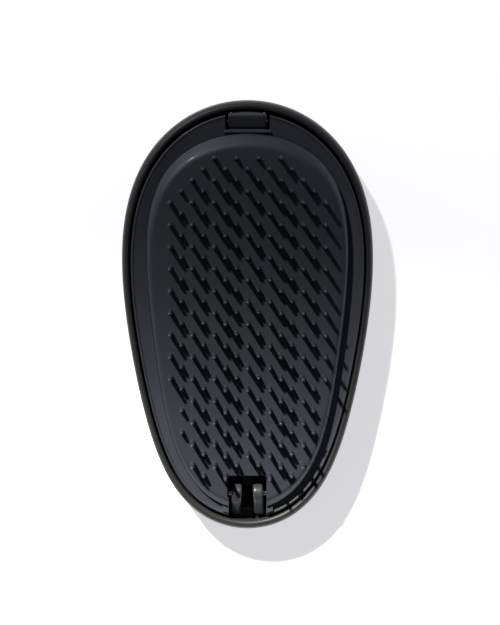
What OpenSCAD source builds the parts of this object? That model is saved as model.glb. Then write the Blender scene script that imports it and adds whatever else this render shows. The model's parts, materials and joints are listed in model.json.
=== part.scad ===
// Folding hairbrush with a mirror, closed for the bag.
// An egg-shaped case carries the mirror; the brush half lies in its mouth, pins outwards,
// and swings up about two stub pins at the narrow end. A rocking button at the wide end lets it go.
// Frame: millimetres, +Z up out of the pins, +Y to the wide end, origin under the case's middle.

/* [Case shell] */
// Length of the case from the narrow end to the wide end
case_l = 120; // [116:1:126]
// Width of the case at its widest line
case_w = 70; // [67:1:74]
// Height of the case's rim above the table
rim_h = 14; // [13.7:0.1:15]
// Height of the case's widest line above the table
belly_h = 8.5; // [8:0.1:9]
// Length of the flat that the case rests on
rest_l = 62; // [54:1:68]
// Width of the flat that the case rests on
rest_w = 36; // [30:1:40]
// How far the case draws in between its widest line and the rim, each side
rim_tuck = 0.8; // [0.4:0.1:1.2]
// Thickness of the rim at the two ends
rim_end_t = 2; // [1.8:0.1:2.2]
// Thickness of the rim along the sides
rim_side_t = 1.45; // [1.3:0.05:1.6]
// Thickness of the case's floor
floor_t = 1.8; // [1.5:0.1:2]

/* [Mirror and tray] */
// Height of the tray's underside above the table
tray_z = 3.7; // [3.6:0.1:3.9]
// Thickness of the tray's plate
tray_t = 1.5; // [1.3:0.1:1.6]
// Gap between the tray and the case at the wide end
tray_gap = 0.45; // [0.4:0.05:0.6]
// Gap between the tray and the case along the sides
tray_side_gap = 1; // [0.9:0.1:1.3]
// Width of the raised border round the mirror
border_w = 1.4; // [1.1:0.1:1.8]
// Height of the border above the mirror's face
border_lip = 0.3; // [0.1:0.1:0.4]
// Clearance between the mirror and the border
glass_gap = 0.15; // [0.1:0.05:0.3]
// Thickness of the mirror
glass_t = 2; // [1.8:0.1:2.1]
// Thickness of the double-sided tape behind the mirror
tape_t = 0.4; // [0.3:0.1:0.5]
// How far the tape stays back from the mirror's edge
tape_in = 2.4; // [1.5:0.1:4]
// Distance of the four tray screws from the centre line
screw_x = 18; // [15:0.5:20]
// Distance of the tray screws from the middle, along the case
screw_y = 22; // [18:0.5:26]
// Radius of a tray screw's shank
screw_r = 0.9; // [0.8:0.05:1]
// Radius of a tray screw's head
screw_head_r = 1.8; // [1.6:0.1:2]
// Thickness of a tray screw's head
screw_head_t = 0.9; // [0.8:0.05:1]
// Radius of the posts that the screws bite into
post_r = 2.4; // [2.1:0.1:3]

/* [Brush half] */
// Gap between the brush frame and the rim at the two ends
frame_end_gap = 1; // [0.8:0.1:1.2]
// Gap between the brush frame and the rim along the sides
frame_side_gap = 0.55; // [0.5:0.05:0.8]
// Thickness of the frame's flange at its edge
flange_t = 2; // [1.8:0.1:2.2]
// Width of the raised lip along the flange's edge
lip_w = 0.65; // [0.5:0.05:0.8]
// Height of the lip above the flange
lip_h = 0.35; // [0.2:0.05:0.4]
// Width of the flange between the pad and the wide end
flange_top_w = 5.8; // [5.6:0.1:6]
// Width of the flange between the pad and the narrow end
flange_low_w = 2.7; // [2.6:0.1:3]
// Width of the flange along the sides
flange_side_w = 4.55; // [4.2:0.05:4.9]
// Thickness of the frame's skirt
skirt_t = 1.2; // [1.1:0.1:1.3]
// Thickness of the cover behind the brush
cover_t = 0.8; // [0.7:0.1:0.9]
// Gap between the mirror's border and the closed brush half
lid_gap = 0.6; // [0.4:0.1:0.8]
// Height of the pad's face above the rim
pad_h = 3.2; // [2.6:0.1:3.6]
// Radius of the pad's top edge
pad_edge_r = 1.7; // [1.4:0.1:1.8]
// Thickness of the pad's side walls
pad_wall = 1.8; // [1.4:0.1:2]
// Thickness of the pad's skin, with the pin plate in it
pad_skin = 2.3; // [2:0.1:2.4]
// How far the pad's foot reaches under the frame
foot_w = 0.6; // [0.4:0.1:0.7]
// Thickness of the pad's foot
foot_t = 1.5; // [1.2:0.1:1.7]
// Clearance round the pad in the frame
pad_gap = 0.2; // [0.15:0.05:0.25]
// Edge of the pad to the edge of the pin plate let into it
plate_in = 2.1; // [2.05:0.05:2.3]

/* [Pins] */
// Distance between neighbouring pins in one row
pin_pitch = 6.04; // [5.8:0.02:6.3]
// Distance between one row and the next, which is set half a pitch aside
row_pitch = 3.01; // [2.9:0.01:3.15]
// Height of the long pins
pin_h = 7.8; // [6.6:0.2:10]
// Height of the short pins, which stand in single columns between the long ones
pin_short_h = 3.3; // [2.7:0.1:4.5]
// Radius of a pin at its foot
pin_foot_r = 0.8; // [0.7:0.05:0.9]
// Radius of a pin's round tip
pin_tip_r = 0.6; // [0.5:0.02:0.65]
// Thickness of the plate that the pins stand on
pin_plate_t = 1; // [0.8:0.1:1.1]
// Edge of the pad to the first row of pins at the wide end
first_row = 6.85; // [6.7:0.05:7.3]
// Border without pins at the wide end
bare_top = 4.4; // [4:0.1:4.8]
// Border without pins at the narrow end
bare_low = 2; // [1.9:0.1:2.1]
// Border without pins along the sides
bare_side = 3.75; // [3.7:0.05:3.85]

/* [Hinge] */
// Distance from the case's narrow end to the hinge axis
hinge_in = 10.7; // [10.6:0.1:11]
// Depth of the hinge axis below the rim
hinge_drop = 0.65; // [0.6:0.05:0.7]
// Width of the recess that the hinge arms stand in
recess_w = 10.5; // [10.2:0.1:11.2]
// Distance from the hinge axis to the recess's inner wall
recess_reach = 5; // [4.8:0.1:5.2]
// Thickness of the walls round the recess
recess_wall = 1.8; // [1.6:0.1:2]
// Width of one hinge arm
arm_w = 2.55; // [2.3:0.05:2.7]
// Gap between the two hinge arms
arm_gap = 2.9; // [2.6:0.1:3.2]
// Radius of the round top of a hinge arm
arm_r = 2.4; // [2.1:0.1:2.5]
// Sideways step of an arm's foot, away from the middle
arm_splay = 0.5; // [0.3:0.1:0.6]
// Reach of an arm beyond the hinge axis
arm_reach = 6.4; // [6:0.1:6.6]
// Depth of an arm's far end below the rim
arm_end_drop = 1.9; // [1.6:0.1:2.2]
// Radius of a hinge pin
hinge_pin_r = 0.8; // [0.7:0.05:0.9]
// Running clearance of the hinge pins in the frame
run_gap = 0.06; // [0.04:0.01:0.08]
// Clearance of a pin that is pressed home
press_gap = 0.02; // [0.01:0.01:0.03]

/* [Release button] */
// Width of the button
button_w = 10.5; // [10:0.1:11]
// Gap between the button and the frame's notch, each side
notch_gap = 0.9; // [0.7:0.1:1]
// Distance from the case's wide end to the button's axis
button_in = 5.8; // [5.7:0.05:5.9]
// Depth of the button's axis below the rim
button_drop = 5.4; // [5.3:0.05:5.5]
// Gap between the button's nose and the catch ledge
nose_gap = 0.75; // [0.7:0.05:0.85]
// How far the button's nose reaches over the frame's sill
catch_w = 0.3; // [0.2:0.05:0.35]
// Height of the button above the rim
button_rise = 0.3; // [0:0.1:0.5]
// Radius of the button's pivot pin
pivot_r = 0.75; // [0.6:0.05:0.8]
// Width of the part of the button that shows in the case's wall
press_w = 9.2; // [8.4:0.1:9.4]
// Thickness of each lug that holds the pivot pin
lug_t = 1.5; // [1.3:0.1:1.7]
// Radius of the button's return spring
spring_r = 1.2; // [1:0.1:1.3]
// Radius of the spring's wire
wire_r = 0.2; // [0.15:0.05:0.22]
// Depth of the spring below the top of the mirror's border
spring_drop = 0.7; // [0.6:0.1:0.8]
// Number of turns of the spring
spring_turns = 4; // [3:1:5]

/* [Outline shape] */
// How much fuller the case's wide end is than its narrow end
case_egg = 0.077; // [0.06:0.001:0.09]
// How square the case's ends are
case_square = 0.0495; // [0.04:0.002:0.06]
// How much fuller the pad's wide end is than its narrow end
pad_egg = 0.105; // [0.1:0.001:0.11]
// How square the pad's ends are
pad_square = 0.088; // [0.084:0.001:0.092]

/* [Hidden] */

GLOSS = [0.06, 0.06, 0.07];
MATTE = [0.19, 0.19, 0.20];
PAD = [0.15, 0.15, 0.16];
STEEL = [0.62, 0.63, 0.65];

STEPS = 72;      // points round every outline
EPS = 0.01;      // how far one cut runs past the face that it opens
BIG = 40;        // longer than anything that is cut
SMOOTH = 48;     // segments of the round parts
PIN_SMOOTH = 24; // segments of a brush pin
LIFT = 0.3;      // clearance kept above the case's floor

// An egg: half its width at the angle t from the wide end, for a shape [fullness, squareness].
CASE_ROUND = 1.0215;
CASE_SKEW = -0.0148;
CASE_SHAPE = [CASE_ROUND, case_egg, case_square, CASE_SKEW];
PAD_SHAPE = [1.046, pad_egg, pad_square, 0];
function egg_x(w, t, s) = w / 2 * (s[0] * sin(t) + s[1] * sin(2 * t) + s[2] * sin(3 * t) + s[3] * sin(4 * t));
// An outline is [length, width, middle along Y, shape].
function egg(o) = [for (i = [0:STEPS - 1]) let (t = 360 * i / STEPS)
  [egg_x(o[1], t, o[3]), o[2] + o[0] / 2 * cos(t)]];
function inset(o, end, side) = [o[0] - 2 * end, o[1] - 2 * side, o[2], o[3]];
// Half the width of an outline at a place along Y, or less than nothing beyond its ends.
function half_width(o, y) =
  let (c = (y - o[2]) / (o[0] / 2)) abs(c) >= 1 ? -1 : egg_x(o[1], acos(c), o[3]);

// Outlines, from the outside in
case_line = [case_l, case_w, 0, CASE_SHAPE];
rim_line = inset(case_line, rim_tuck, rim_tuck);
mouth_line = inset(rim_line, rim_end_t, rim_side_t);
flange_line = inset(mouth_line, frame_end_gap, frame_side_gap);
pad_line = [flange_line[0] - flange_top_w - flange_low_w, flange_line[1] - 2 * flange_side_w,
  (flange_low_w - flange_top_w) / 2, PAD_SHAPE];
pins_line = [pad_line[0] - bare_top - bare_low, pad_line[1] - 2 * bare_side,
  pad_line[2] + (bare_low - bare_top) / 2, PAD_SHAPE];
opening_line = inset(pad_line, -pad_gap, -pad_gap);
foot_line = inset(pad_line, -foot_w, -foot_w);
seat_line = inset(foot_line, -pad_gap, -pad_gap);
skirt_line = inset(seat_line, -skirt_t, -skirt_t);

// Heights, from the table up
tray_top = tray_z + tray_t;
glass_z = tray_top + tape_t;
glass_top = glass_z + glass_t;
border_top = glass_top + border_lip;
cover_z = border_top + lid_gap;
cover_top = cover_z + cover_t;
foot_top = cover_top + foot_t;
flange_z = rim_h - flange_t;
flange_top = rim_h - lip_h;
flange_sink = 0.2; // the flange falls this much from the lip to the pad
pad_top = rim_h + pad_h;
pad_ceiling = pad_top - pad_skin;
pin_plate_z = pad_top - pin_plate_t;

// Hinge and button axes
hinge_y = -case_l / 2 + hinge_in;
hinge_z = rim_h - hinge_drop;
recess_y = hinge_y + recess_reach;
button_y = case_l / 2 - button_in;
button_z = rim_h - button_drop;

// The hollow of the case is a quarter ellipse from its floor to its widest line.
function hollow_part(z) = sin(acos(1 - (z - floor_t) / (belly_h - floor_t)));
function hollow_line(z) = [rest_l + (mouth_line[0] - rest_l) * hollow_part(z),
  rest_w + (mouth_line[1] - rest_w) * hollow_part(z), 0, CASE_SHAPE];
function hollow_z(y) =
  floor_t + (belly_h - floor_t) * (1 - cos(asin((2 * abs(y) - rest_l) / (mouth_line[0] - rest_l))));
// How far the mouth falls back from its end, at x beside the middle; end is 1 at the wide end, else -1.
function mouth_slope(end) = CASE_ROUND + end * 2 * case_egg + 3 * case_square + end * 4 * CASE_SKEW;
function mouth_fall(x, end) =
  mouth_line[0] / 2 * (1 - cos(x / (mouth_line[1] / 2 * mouth_slope(end)) * 180 / PI));
// Height of the underside of a tray part that reaches out over the hollow to y, its outer face at x.
function over_hollow(x, y) =
  max(tray_z, hollow_z(min(mouth_line[0] / 2, abs(y) + mouth_fall(x, sign(y)))) + LIFT);
function outside_y(z) = rest_l / 2 + (case_l - rest_l) / 2 * sin(acos(1 - z / belly_h));

tray_bed = hollow_line(tray_z);
tray_end_y = hinge_y + 6.3; // clear of the brush half's end when it stands open
tray_line = [tray_bed[0] / 2 - tray_gap - tray_end_y, tray_bed[1] - 2 * tray_side_gap,
  (tray_bed[0] / 2 - tray_gap + tray_end_y) / 2, CASE_SHAPE];
well_line = inset(tray_line, border_w, border_w);
glass_line = inset(well_line, glass_gap, glass_gap);
tape_line = inset(glass_line, tape_in, tape_in);

// Surface through a list of rings [outline, z]; closed caps it, or it runs round to its first ring.
module loft(rings, closed = false) {
  n = STEPS;
  m = len(rings);
  points = [for (r = rings) for (p = egg(r[0])) [p[0], p[1], r[1]]];
  sides = [for (r = [0:closed ? m - 1 : m - 2]) for (i = [0:n - 1])
    let (a = r * n + i, b = r * n + (i + 1) % n, c = (r + 1) % m * n + (i + 1) % n, d = (r + 1) % m * n + i)
      each [[a, b, c], [a, c, d]]];
  caps = closed ? [] : [[for (i = [n - 1:-1:0]) i], [for (i = [0:n - 1]) (m - 1) * n + i]];
  polyhedron(concat(sides == [] ? [] : points), concat(sides, caps));
}

module plate(line, z, t) {
  translate([0, 0, z]) linear_extrude(t) polygon(egg(line));
}

// A profile drawn in Y and Z, w wide across X about x.
module across(profile, x, w) {
  translate([x - w / 2, 0, 0]) rotate([90, 0, 90]) linear_extrude(w) polygon(profile);
}

module rod(y, z, r, x0, x1) {
  translate([x0, y, z]) rotate([0, 90, 0]) cylinder(h = x1 - x0, r = r, $fn = SMOOTH);
}

module block(x, y0, y1, z0, z1) {
  translate([-x, y0, z0]) cube([2 * x, y1 - y0, z1 - z0]);
}

// ---- Case ----

function between(a, b, f) = [a[0] + (b[0] - a[0]) * f, a[1] + (b[1] - a[1]) * f, a[2], a[3]];

module outer_shell() {
  rest_line = [rest_l, rest_w, 0, CASE_SHAPE];
  bowl = [for (a = [0:10:90]) [between(rest_line, case_line, sin(a)), belly_h * (1 - cos(a))]];
  edge_r = rim_side_t / 2;
  tuck = [for (f = [0.35, 0.7, 1])
    [between(case_line, rim_line, f * f), belly_h + (rim_h - edge_r - belly_h) * f]];
  edge = [for (a = [30:30:150])
    [between(rim_line, mouth_line, (1 - cos(a)) / 2), rim_h - edge_r + edge_r * sin(a)]];
  wall = [[mouth_line, rim_h - edge_r]];
  hollow = [for (a = [90:-10:0])
    [between(rest_line, mouth_line, sin(a)), belly_h - (belly_h - floor_t) * cos(a)]];
  window_x = press_w / 2 + 0.4;
  color(GLOSS) difference() {
    union() {
      loft(concat(bowl, tuck, edge, wall, hollow));
      for (x = [-1, 1]) for (y = [-1, 1])
        translate([x * screw_x, y * screw_y, floor_t / 2])
          cylinder(h = tray_z - floor_t / 2, r = post_r, $fn = SMOOTH);
    }
    for (x = [-1, 1]) for (y = [-1, 1])
      translate([x * screw_x, y * screw_y, floor_t]) cylinder(h = BIG, r = screw_r + press_gap, $fn = SMOOTH);
    block(window_x, button_y - 4, case_l, button_z - 4.4, button_z - 0.6);
  }
}

module tray_screws() {
  color(STEEL) for (x = [-1, 1]) for (y = [-1, 1]) translate([x * screw_x, y * screw_y, 0]) {
    difference() {
      union() {
        translate([0, 0, floor_t + 0.3]) cylinder(h = tray_top - floor_t - 0.4, r = screw_r, $fn = SMOOTH);
        translate([0, 0, tray_top - screw_head_t]) cylinder(h = screw_head_t, r = screw_head_r, $fn = SMOOTH);
      }
      for (a = [0, 90]) translate([0, 0, tray_top]) rotate([0, 0, a])
        cube([screw_head_r * 1.3, 0.4, screw_head_t], center = true);
    }
  }
}

module mirror_tape() {
  color("white") plate(tape_line, tray_top, tape_t);
}

module mirror_glass() {
  bevel = 0.3;
  color([0.75, 0.8, 0.84]) loft([[glass_line, glass_z], [glass_line, glass_top - bevel],
    [inset(glass_line, bevel, bevel), glass_top]]);
}

// The arm's underside follows the case's hollow, a little above it. Its back falls straight from its round
// top to its far end.
arm_end_y = hinge_y - arm_reach;
arm_face = arm_gap / 2 + arm_w + arm_splay;
arm_under = [for (y = concat(tray_end_y + tray_t, [for (f = [-0.1:0.22:1]) hinge_y - f * arm_reach]))
  [y, over_hollow(arm_face, y)]];
arm_end = [arm_end_y, rim_h - arm_end_drop];
end_away = arm_end - [hinge_y, hinge_z];
brow_turn = 360 + atan2(end_away[1], end_away[0]) - acos(arm_r / norm(end_away));
arm_brow = [hinge_y + arm_r * cos(brow_turn), hinge_z + arm_r * sin(brow_turn)];
foot_y = hinge_y - arm_reach / 2;
function arm_back_z(y) =
  arm_end[1] + (y - arm_end[0]) * (arm_brow[1] - arm_end[1]) / (arm_brow[0] - arm_end[0]);

module hinge_arm(side) {
  x = side * (arm_gap + arm_w) / 2;
  saddle = concat(arm_under, [arm_end, arm_brow, [hinge_y, hinge_z],
    [hinge_y + arm_r, hinge_z], [hinge_y + arm_r, hinge_z - arm_r], [tray_end_y + 0.4, tray_top + 0.6],
    [tray_end_y + tray_t, tray_top]]);
  foot = concat([for (p = arm_under) if (p[0] < foot_y) p],
    [arm_end - [0, 0.3], [foot_y, arm_back_z(foot_y) - 0.3]]);
  across(saddle, x, arm_w);
  across(foot, x + side * arm_splay / 2, arm_w + arm_splay);
  translate([x - arm_w / 2, hinge_y, hinge_z]) rotate([0, 90, 0])
    cylinder(h = arm_w, r = arm_r, $fn = SMOOTH);
}

tray_tip_y = tray_line[2] + tray_line[0] / 2;
lug_in = button_w / 2 + 0.4;
lug_r = 1.5;
spring_z = border_top - spring_drop - spring_r;
lug_root = 2 * tray_t;
module pivot_lug(side) {
  x = side * (lug_in + lug_t / 2);
  under = [for (y = [tray_tip_y - lug_root, tray_tip_y - LIFT, tray_tip_y + lug_root, button_y, button_y + 1])
    [y, over_hollow(lug_in + lug_t, y)]];
  across(concat(under, [[button_y + 1.2, button_z], [button_y - 1.4, button_z - 0.3],
    [tray_tip_y + 1, border_top - 0.6], [tray_tip_y - lug_root, tray_top]]), x, lug_t);
  rod(button_y, button_z, lug_r, x - lug_t / 2, x + lug_t / 2);
}

module mirror_tray() {
  color(GLOSS) difference() {
    union() {
      difference() {
        plate(tray_line, tray_z, border_top - tray_z);
        plate(well_line, tray_top, BIG);
      }
      across([[tray_end_y + 2, tray_z], [tray_end_y + 2, tray_top], [hinge_y + 0.8, tray_top],
        [hinge_y + 0.8, over_hollow(arm_face, hinge_y + 0.8)]], 0, arm_gap + 2 * arm_w);
      // peg that centres the button's spring
      translate([0, tray_tip_y - 0.5, spring_z]) rotate([-90, 0, 0])
        cylinder(h = 2.2, r = spring_r - 2 * wire_r - 0.15, $fn = SMOOTH);
      for (side = [-1, 1]) {
        hinge_arm(side);
        pivot_lug(side);
      }
    }
    for (side = [-1, 1]) for (y = [-1, 1]) translate([side * screw_x, y * screw_y, 0]) {
      cylinder(h = BIG, r = screw_r + press_gap, $fn = SMOOTH);
      translate([0, 0, tray_top - screw_head_t]) cylinder(h = BIG, r = screw_head_r + 0.1, $fn = SMOOTH);
    }
    rod(hinge_y, hinge_z, hinge_pin_r + press_gap, -BIG, BIG);
    rod(button_y, button_z, pivot_r + press_gap, -BIG, BIG);
  }
}

module hinge_pin(side) {
  inner = arm_gap / 2 + 0.1;
  outer = recess_w / 2 + recess_wall - 0.3;
  color(STEEL) rod(hinge_y, hinge_z, hinge_pin_r, side > 0 ? inner : -outer, side > 0 ? outer : -inner);
}

// ---- Brush half ----

module recess_cut(side_gap = 0, end_gap = 0, z0 = -BIG, z1 = BIG) {
  block(recess_w / 2 + side_gap, -BIG * 2, recess_y + end_gap, z0, z1);
}

// The button's notch, from the catch ledge out through the flange
ledge_y = opening_line[2] + opening_line[0] / 2 + 0.05;
ledge_t = 0.8;
step_t = 0.1;
sill_t = 1.2;
sill_drop = 0.7; // depth of the sill's top below the nose
notch_y = ledge_y + ledge_t + step_t;
notch_x = button_w / 2 + notch_gap;
nose_y = notch_y + nose_gap;
nose_z = rim_h - 1.5;
module notch_cut() {
  block(notch_x, notch_y, case_l, -BIG, BIG);
}

module brush_frame() {
  chamfer = 0.25;
  color(MATTE) difference() {
    union() {
      loft([[skirt_line, cover_top], [skirt_line, flange_z],
        [inset(flange_line, chamfer, chamfer), flange_z], [flange_line, flange_z + chamfer],
        [flange_line, rim_h - chamfer], [inset(flange_line, chamfer, chamfer), rim_h],
        [inset(flange_line, lip_w, lip_w), rim_h],
        [inset(flange_line, lip_w + lip_h, lip_w + lip_h), flange_top],
        [opening_line, flange_top - flange_sink], [opening_line, foot_top + pad_gap],
        [seat_line, foot_top + pad_gap], [seat_line, cover_top]], closed = true);
      // walls of the recess, which hold the hinge pins
      intersection() {
        block(recess_w / 2 + recess_wall, -case_l, recess_y + recess_wall, cover_top, pad_ceiling - pad_gap);
        plate(skirt_line, cover_top, pad_ceiling - cover_top);
      }
      // catch ledge beside the pad, in two steps
      block(notch_x + 0.3, ledge_y, ledge_y + ledge_t, flange_z, pad_top - 1.3);
      block(notch_x - 0.6, ledge_y, notch_y, flange_z, rim_h + 0.3);
    }
    recess_cut();
    notch_cut();
    rod(hinge_y, hinge_z, hinge_pin_r + run_gap, -recess_w / 2 - recess_wall, recess_w / 2 + recess_wall);
  }
  // sill that the button's nose holds down
  color(MATTE) block(button_w / 2 - 0.3, ledge_y + ledge_t - 0.2, nose_y + catch_w,
    nose_z - sill_drop - sill_t, nose_z - sill_drop);
}

module brush_pad() {
  inside = inset(pad_line, pad_wall, pad_wall);
  round_edge = [for (a = [0:15:90]) let (d = pad_edge_r * (1 - cos(a)))
    [inset(pad_line, d, d), pad_top - pad_edge_r + pad_edge_r * sin(a)]];
  pocket = inset(pin_plate_line, -0.1, -0.1);
  color(PAD) difference() {
    loft(concat([[inside, pad_ceiling], [inside, cover_top], [foot_line, cover_top], [foot_line, foot_top],
      [pad_line, foot_top]], round_edge, [[pocket, pad_top], [pocket, pin_plate_z]]));
    recess_cut();
    recess_cut(recess_wall + pad_gap, recess_wall + pad_gap, -BIG, pad_ceiling);
  }
}

// Pins stand in staggered rows, wherever their foot lies inside the pins' outline: [x, y, height].
// Counted in half pitches from the middle, these columns have the short pins.
SHORT_COLUMNS = [1, 4, 6];
function is_short(i) = len([for (c = SHORT_COLUMNS) if (c == abs(i)) c]) > 0;
pin_plate_line = inset(pad_line, plate_in, plate_in);
first_y = pad_line[2] + pad_line[0] / 2 - first_row;
function pin_places() = [for (j = [0:floor(pins_line[0] / row_pitch)]) let (y = first_y - row_pitch * j)
  for (i = [-12:12]) let (x = pin_pitch / 2 * i)
    if ((i + j) % 2 != 0 && abs(x) <= half_width(pins_line, y)
      && (abs(x) > recess_w / 2 || y > recess_y + 2 * pin_foot_r) && y > recess_y)
        [x, y, is_short(i) ? pin_short_h : pin_h]];

module brush_pin(h) {
  cylinder(h = h - pin_tip_r, r1 = pin_foot_r, r2 = pin_tip_r, $fn = PIN_SMOOTH);
  translate([0, 0, h - pin_tip_r]) sphere(r = pin_tip_r, $fn = PIN_SMOOTH);
}

module pin_field() {
  color(PAD) difference() {
    union() {
      plate(pin_plate_line, pin_plate_z, pin_plate_t);
      for (p = pin_places()) translate([p[0], p[1], pad_top]) brush_pin(p[2]);
    }
    recess_cut(0.4, 0.4, -BIG, pad_top + EPS);
  }
}

module back_cover() {
  color(MATTE) difference() {
    plate(skirt_line, cover_z, cover_t);
    recess_cut();
    notch_cut();
  }
}

// ---- Release button ----

column_y = button_y - 1.2;
module release_button() {
  face_gap = 0.4;
  top_z = rim_h + button_rise;
  head = [[nose_y, nose_z], [button_y + 0.9, top_z], [case_l / 2, top_z - 0.2], [case_l / 2, button_z - 1.1],
    [column_y, button_z - 1.1], [column_y, nose_z - 0.4], [nose_y, nose_z - 0.4]];
  head_line = inset(mouth_line, 1, 1);
  press_z = [button_z - 3.9, button_z - 1];
  press_line = [2 * (outside_y((press_z[0] + press_z[1]) / 2) - face_gap), case_w, 0, CASE_SHAPE];
  color(GLOSS) difference() {
    union() {
      intersection() {
        across(head, 0, button_w);
        plate(head_line, 0, BIG);
      }
      intersection() {
        block(press_w / 2, column_y, case_l, press_z[0], press_z[1]);
        plate(press_line, 0, BIG);
      }
    }
    rod(button_y, button_z, pivot_r + run_gap, -BIG, BIG);
    // pocket for the spring's end
    translate([0, column_y - EPS, spring_z]) rotate([-90, 0, 0])
      cylinder(h = 1.2 + EPS, r = spring_r + 0.2, $fn = SMOOTH);
  }
}

module button_pin() {
  half = lug_in + lug_t;
  color(STEEL) rod(button_y, button_z, pivot_r, -half, half);
}

// The return spring bears on the tray's end and stops just short of the floor of the button's pocket.
module button_spring() {
  start_y = tray_tip_y + wire_r + 0.05;
  end_y = column_y + 1.2 - 0.4 - wire_r;
  rings = 8 * spring_turns;
  sides = 6;
  coil_r = spring_r - wire_r;
  points = [for (k = [0:rings])
    let (a = 360 * spring_turns * k / rings, y = start_y + (end_y - start_y) * k / rings)
    for (s = [0:sides - 1]) let (b = 360 * s / sides, r = coil_r + wire_r * cos(b))
      [r * cos(a), y + wire_r * sin(b), spring_z + r * sin(a)]];
  skin = [for (k = [0:rings - 1]) for (s = [0:sides - 1])
    let (a = k * sides + s, b = k * sides + (s + 1) % sides, c = b + sides, d = a + sides)
      each [[a, b, c], [a, c, d]]];
  color(STEEL) polyhedron(points, concat(skin, [[for (s = [sides - 1:-1:0]) s]],
    [[for (s = [0:sides - 1]) rings * sides + s]]));
}

outer_shell();
mirror_tray();
mirror_tape();
mirror_glass();
tray_screws();
hinge_pin(-1);  // hinge_pin_left
hinge_pin(1);  // hinge_pin_right
brush_frame();
brush_pad();
pin_field();
back_cover();
release_button();
button_pin();
button_spring();
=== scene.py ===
# %% [markdown]
# # A folding hairbrush with a mirror, photographed from above
# The CAD model gives the pieces that fit and move. This lesson dresses them: smooth
# moulded skins, 204 round-tipped pins from Geometry Nodes, black plastics that differ
# mostly in their sheen, and two lamps in one place at the upper left. Lengths are written
# in millimetres, because that is how a maker thinks of them, and turned into metres where
# a mesh is made.

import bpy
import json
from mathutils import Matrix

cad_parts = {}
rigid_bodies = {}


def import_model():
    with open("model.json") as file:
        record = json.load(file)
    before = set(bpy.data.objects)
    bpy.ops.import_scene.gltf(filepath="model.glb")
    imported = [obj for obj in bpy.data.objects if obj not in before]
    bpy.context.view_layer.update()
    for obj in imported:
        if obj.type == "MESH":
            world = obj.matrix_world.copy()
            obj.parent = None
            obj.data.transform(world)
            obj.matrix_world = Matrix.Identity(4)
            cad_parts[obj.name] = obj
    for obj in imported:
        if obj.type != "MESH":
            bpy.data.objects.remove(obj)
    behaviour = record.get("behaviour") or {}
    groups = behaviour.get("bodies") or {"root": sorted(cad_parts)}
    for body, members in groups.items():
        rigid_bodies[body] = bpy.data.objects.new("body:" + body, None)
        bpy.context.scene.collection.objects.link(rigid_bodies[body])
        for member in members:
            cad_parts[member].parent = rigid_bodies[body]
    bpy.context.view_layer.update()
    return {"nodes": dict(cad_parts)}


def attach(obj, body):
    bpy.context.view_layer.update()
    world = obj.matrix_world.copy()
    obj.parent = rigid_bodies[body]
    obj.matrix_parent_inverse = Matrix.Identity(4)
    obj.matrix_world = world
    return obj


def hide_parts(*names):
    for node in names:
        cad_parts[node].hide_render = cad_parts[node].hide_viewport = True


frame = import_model()
nodes = frame["nodes"]
print("CAD nodes:", sorted(nodes))

# %%
import json
import math

import bmesh
import bpy
from mathutils import Matrix, Vector

MM = 0.001

# %% [markdown]
# ## Shader maths as Python
# A material graph is easier to read as a formula. `Value` wraps one socket, and its
# operators add the Math nodes. `Finish.node` makes any other node from its type, its
# settings and what its sockets get. Only numbers go through Math nodes: colours would
# turn grey, so they go through Mix.

# %% Wrapping a socket


class Value:
    def __init__(self, finish, socket):
        self.finish, self.socket = finish, socket

    def math(self, operation, other=None, swap=False):
        ends = [self] if other is None else ([other, self] if swap else [self, other])
        return self.finish.node("ShaderNodeMath", {"operation": operation}, dict(enumerate(ends)))

    def __add__(self, other):
        return self.math("ADD", other)

    def __sub__(self, other):
        return self.math("SUBTRACT", other)

    def __mul__(self, other):
        return self.math("MULTIPLY", other)

    def __truediv__(self, other):
        return self.math("DIVIDE", other)

    def __rsub__(self, other):
        return self.math("SUBTRACT", other, swap=True)

    __radd__ = __add__
    __rmul__ = __mul__

    def above(self, edge, soft=0.0):
        if soft == 0:
            return self.math("GREATER_THAN", edge)
        return self.finish.node(
            "ShaderNodeMapRange", {"interpolation_type": "SMOOTHSTEP"},
            {"Value": self, "From Min": edge - soft, "From Max": edge + soft})


# %% Building one finish


class Finish:
    def __init__(self, name):
        self.material = bpy.data.materials.new(name)
        self.material.use_nodes = True
        self.tree = self.material.node_tree
        self.tree.nodes.clear()
        self.output = self.tree.nodes.new("ShaderNodeOutputMaterial")

    def node(self, kind, settings, inputs, out=0):
        made = self.tree.nodes.new(kind)
        for key, value in settings.items():
            setattr(made, key, value)
        for key, value in inputs.items():
            socket = made.inputs[key]
            if isinstance(value, Value):
                self.tree.links.new(value.socket, socket)
            else:
                socket.default_value = value
        return Value(self, made.outputs[out])

    def place(self):
        return self.node("ShaderNodeTexCoord", {}, {}, "Object")

    def noise(self, where, per_mm, detail=2.0, rough=0.5, stretch=None):
        if stretch:
            where = self.node("ShaderNodeMapping", {}, {"Vector": where, "Scale": stretch})
        return self.node(
            "ShaderNodeTexNoise", {},
            {"Vector": where, "Scale": per_mm / MM, "Detail": detail, "Roughness": rough})

    def mix(self, factor, low, high):
        """Inputs 0, 6 and 7 and output 2 are the Mix node's factor and its colours."""
        return self.node("ShaderNodeMix", {"data_type": "RGBA"}, {0: factor, 6: low, 7: high}, 2)

    def bump(self, height, depth_mm):
        return self.node(
            "ShaderNodeBump", {}, {"Height": height, "Distance": depth_mm * MM, "Strength": 1.0})

    def surface(self, inputs):
        shader = self.node("ShaderNodeBsdfPrincipled", {}, inputs)
        self.tree.links.new(shader.socket, self.output.inputs["Surface"])
        return self.material


def grey(level, warm=0.0):
    """A nearly neutral colour; warm above 0 leans to red, below 0 to blue."""
    return (level * (1 + warm / 2), level, level * (1 - warm), 1.0)


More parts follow.
